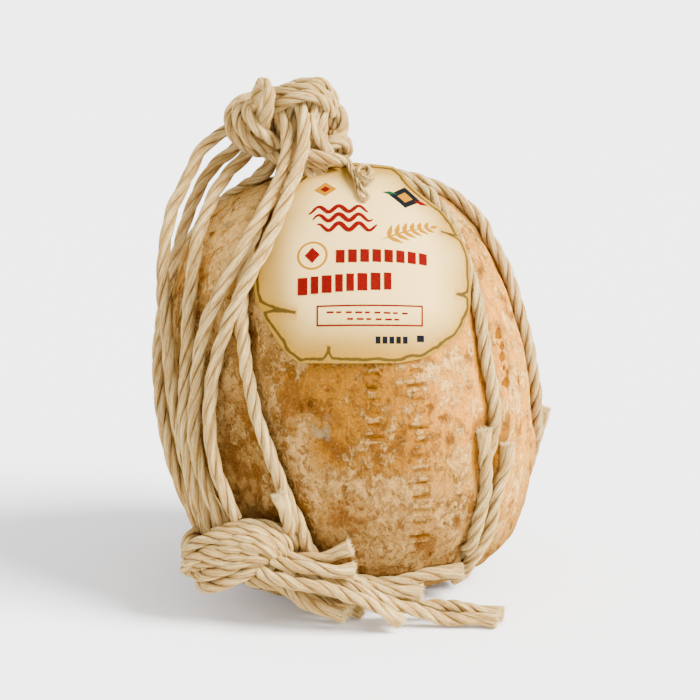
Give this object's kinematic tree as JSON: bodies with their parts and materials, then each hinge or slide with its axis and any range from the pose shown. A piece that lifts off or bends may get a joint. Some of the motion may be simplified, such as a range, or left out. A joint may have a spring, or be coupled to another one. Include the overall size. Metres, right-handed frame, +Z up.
{
  "type": "provolone cheese",
  "caption": "Whole uncut provolone bound by rope loops, with a bundle of strands between a top and a bottom knot, cut rope ends at its foot and a bent paper tag on its front.",
  "frame": {"origin": "middle of the flat spot that the cheese rests on", "axes": "+Z up to the top knot, -Y the front with the tag, +X the right-hand side seen from the front"},
  "size_m": [0.1898, 0.1903, 0.2405],
  "materials": {
    "rind": "dry natural rind with bloom",
    "rope": "three-strand natural fibre",
    "paper": "matte parchment paper"
  },
  "bodies": {
    "root": {"sling_left_a": "rope", "sling_left_b": "rope", "sling_left_c": "rope", "sling_front_a": "rope", "sling_front_b": "rope", "binding_front_left": "rope", "binding_front_right": "rope", "binding_right": "rope", "upright_end_front_a": "rope", "upright_end_front_b": "rope", "upright_end_right": "rope", "tucked_end": "rope", "under_run": "rope", "free_end_a": "rope", "free_end_b": "rope", "free_end_c": "rope", "free_end_d": "rope", "free_end_e": "rope", "free_end_f": "rope", "short_end_a": "rope", "short_end_b": "rope", "short_end_c": "rope", "short_end_d": "rope", "top_knot": "rope", "bottom_knot": "rope", "tag_string": "rope", "tag": "paper", "cheese": "rind"}
  },
  "joints": []
}
